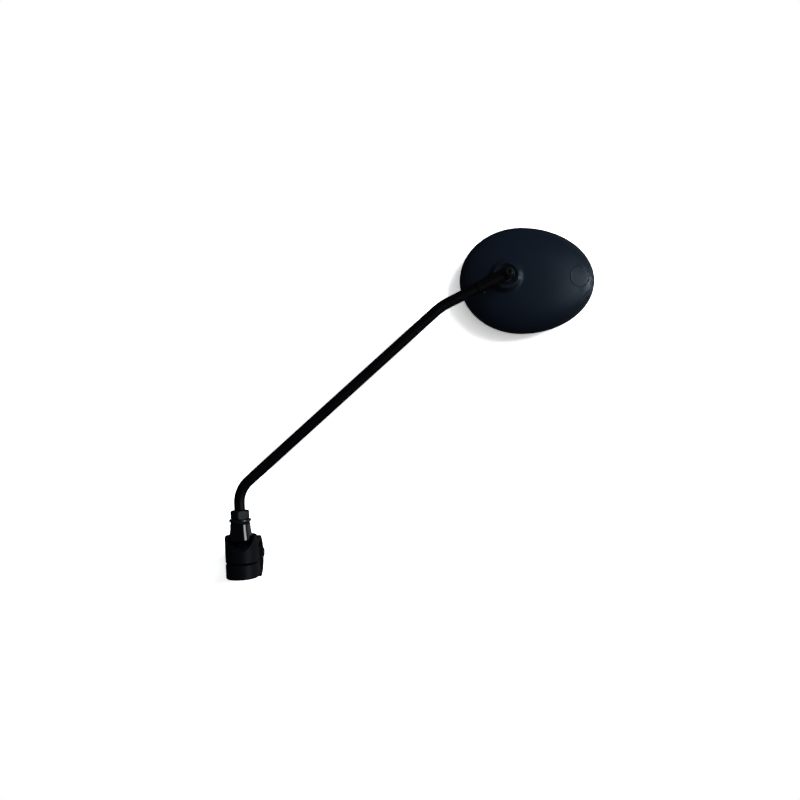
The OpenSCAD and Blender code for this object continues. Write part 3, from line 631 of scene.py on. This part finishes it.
rows = []
front_edge = rounded(
    [(mouth_r, boss_front - mouth_drop), (land_in, boss_front), (land_out, boss_front),
     (shoulder_r, boss_front - shoulder_drop)], front_round, looped=False)
for r, h in front_edge:
    rows.append((boss_x + r * aim_x, boss_y + r * aim_y, np.full(columns, h)))
foot_r = boss_r + fillet
foot_h = dome(boss_x + foot_r * aim_x, boss_y + foot_r * aim_y, 0, widest, dome_depth)
for a in np.radians(np.linspace(flank, 0, 7)):
    r = boss_r + fillet * (1 - math.sin(a))
    rows.append((boss_x + r * aim_x, boss_y + r * aim_y, foot_h + fillet * (1 - math.cos(a))))
outline = reach(0)
for share in np.sin(np.pi / 2 * np.linspace(0, 1, 44)[1:]):
    r = foot_r + (outline - foot_r) * share
    x = boss_x + r * aim_x
    y = boss_y + r * aim_y
    rows.append((x, y, dome(x, y, 0, widest, dome_depth) if share < 1 else np.full(columns, float(widest))))
edge_x = boss_x + outline * aim_x
edge_y = boss_y + outline * aim_y
egg_length = np.where(edge_x < 0, head_left, head_right)
rim_back = widest - rim
inner_in = wall + ledge_w
rim_profile = rounded([(0, widest), (rim_in, rim_back), (wall, rim_back), (wall, ledge), (inner_in, ledge)],
                      rim_round, looped=False)
for drawn_in, h in rim_profile[1:]:
    x = edge_x * (1 - drawn_in / egg_length)
    y = edge_y * (1 - drawn_in / half_height)
    rows.append((x, y, np.full(columns, h)))
inner_r = 11.3
inner = reach(inner_in)
for share in np.sin(np.pi / 2 * np.linspace(1, 0, 16)[1:]):
    r = inner_r + (inner - inner_r) * share
    x = boss_x + r * aim_x
    y = boss_y + r * aim_y
    rows.append((x, y, dome(x, y, inner_in, ledge, crown - wall - ledge)))
seat_turn = np.radians(np.linspace(0, 42, 8))
seat = [(seat_r * math.cos(a), ball_centre + seat_r * math.sin(a)) for a in seat_turn]
cup_r = seat_r + seat_gap
for r, h in [(inner_r, socket_back), (cup_r, socket_back), (cup_r, ball_centre), *seat]:
    rows.append((boss_x + r * aim_x, boss_y + r * aim_y, np.full(columns, h)))
shell = skin("shell_moulding", np.stack([in_world(*row) for row in rows]), looped=True)

mark_share = 0.76
mark_x = mark_share * head_right
mark_y = 1.6
mark_profile = [(6.65, -0.3), (6.74, 0.12), (6.85, 0.26), (7.05, 0.3), (7.75, 0.3), (7.95, 0.26),
                (8.06, 0.12), (8.15, -0.3)]
mark_rows = []
for r, raised in mark_profile:
    x = mark_x + r * aim_x
    y = mark_y + r * aim_y
    mark_rows.append(in_world(x, y, dome(x, y, 0, widest, dome_depth) + raised))
mark = skin("shell_raised_ring", np.stack(mark_rows), looped=True)
shell_blue = (0.0051, 0.0078, 0.0143)
satin = finish("shell_satin", shell_blue, 0.42, specular=0.18, grain=(0.5, 0.008), edge=0.25, patchy=0.06)
# The shell's reflections are tinted blue in its material: a painted cool tint of the daylight that they
# mirror.
satin.node_tree.nodes["Principled BSDF"].inputs["Specular Tint"].default_value = (0.8, 0.94, 1, 1)
for piece in (shell, mark):
    piece.data.materials.append(satin)
    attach(piece, "head")
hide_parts("shell")

# Retainer plate and its screws: a bright steel plate with a leg to each screw post inside the shell. It
# holds the spring from behind.
paint(bright_steel, "retainer_plate", "plate_screws")

# Mirror glass: convex and silvered on its back, with a ground edge. It lies on a foam pad in a moulded
# nylon tray.
glass_in = 3.65
glass_back = -13
glass_radius = 1200
glass_t = 2
ground = 0.3
steps = 180
around = 2 * np.pi * np.arange(steps) / steps
length = np.where(np.cos(around) < 0, head_left, head_right) - glass_in
layers = [(share, 0) for share in (0.01, 0.1, 0.2, 0.3, 0.4, 0.5, 0.6, 0.7, 0.8, 0.9, 0.97, 0.992)]
layers += [(1.0, ground), (1.0, glass_t - ground)]
layers += [(share, glass_t) for share in (0.992, 0.6, 0.01)]
glass_rows = []
for share, behind in layers:
    x = length * np.cos(around) * share
    y = (half_height - glass_in) * np.sin(around) * share
    glass_rows.append(in_world(x, y, glass_back + behind + (x ** 2 + y ** 2) / (2 * glass_radius)))
glass = skin("mirror_glass_convex", np.stack(glass_rows), looped=False)
silver_grey = (0.86, 0.88, 0.89)
glass.data.materials.append(
    finish("mirror", silver_grey, 0.0, metallic=1, grain=(30, 0.0), edge=0.05, patchy=0))
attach(glass, "head")
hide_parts("mirror_glass")
foam_grey = (0.05, 0.05, 0.052)
paint(finish("foam", foam_grey, 0.95, specular=0.1, grain=(0.5, 0.08), edge=0.1), "glass_pad")
paint(nylon, "glass_carrier")


# Rim seal: a ring of extruded black rubber pushed between rim and glass. Its rounded lip lies on the glass
# and keeps water out.
def egg_grid(profile, steps=180):
    """Grid of a profile of (drawn in, height) led round the egg's outline: x is (half length - drawn in)
    times the cosine of the turn, and y is (half height - drawn in) times its sine."""
    around = 2 * np.pi * np.arange(steps) / steps
    length = np.where(np.cos(around) < 0, head_left, head_right)
    drawn_in = np.asarray(profile)[:, 0][:, None]
    return in_world((length - drawn_in) * np.cos(around), (half_height - drawn_in) * np.sin(around),
                    np.asarray(profile)[:, 1][:, None])


seal_in = 2.25
seat_in = 3.6
seal_lip_in = 4.4
seal_back = -14
seal_front = -10.2
lip_h = -12.545
lip_round = 0.45
rim_seal = skin("rim_seal_lip", egg_grid(rounded(
    [(seal_in, seal_back), (seal_lip_in, seal_back), (seal_lip_in, lip_h), (seat_in, lip_h),
     (seat_in, seal_front), (seal_in, seal_front)], lip_round)), looped=True)
rim_seal.data.materials.append(rubber)
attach(rim_seal, "head")
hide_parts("rim_seal")
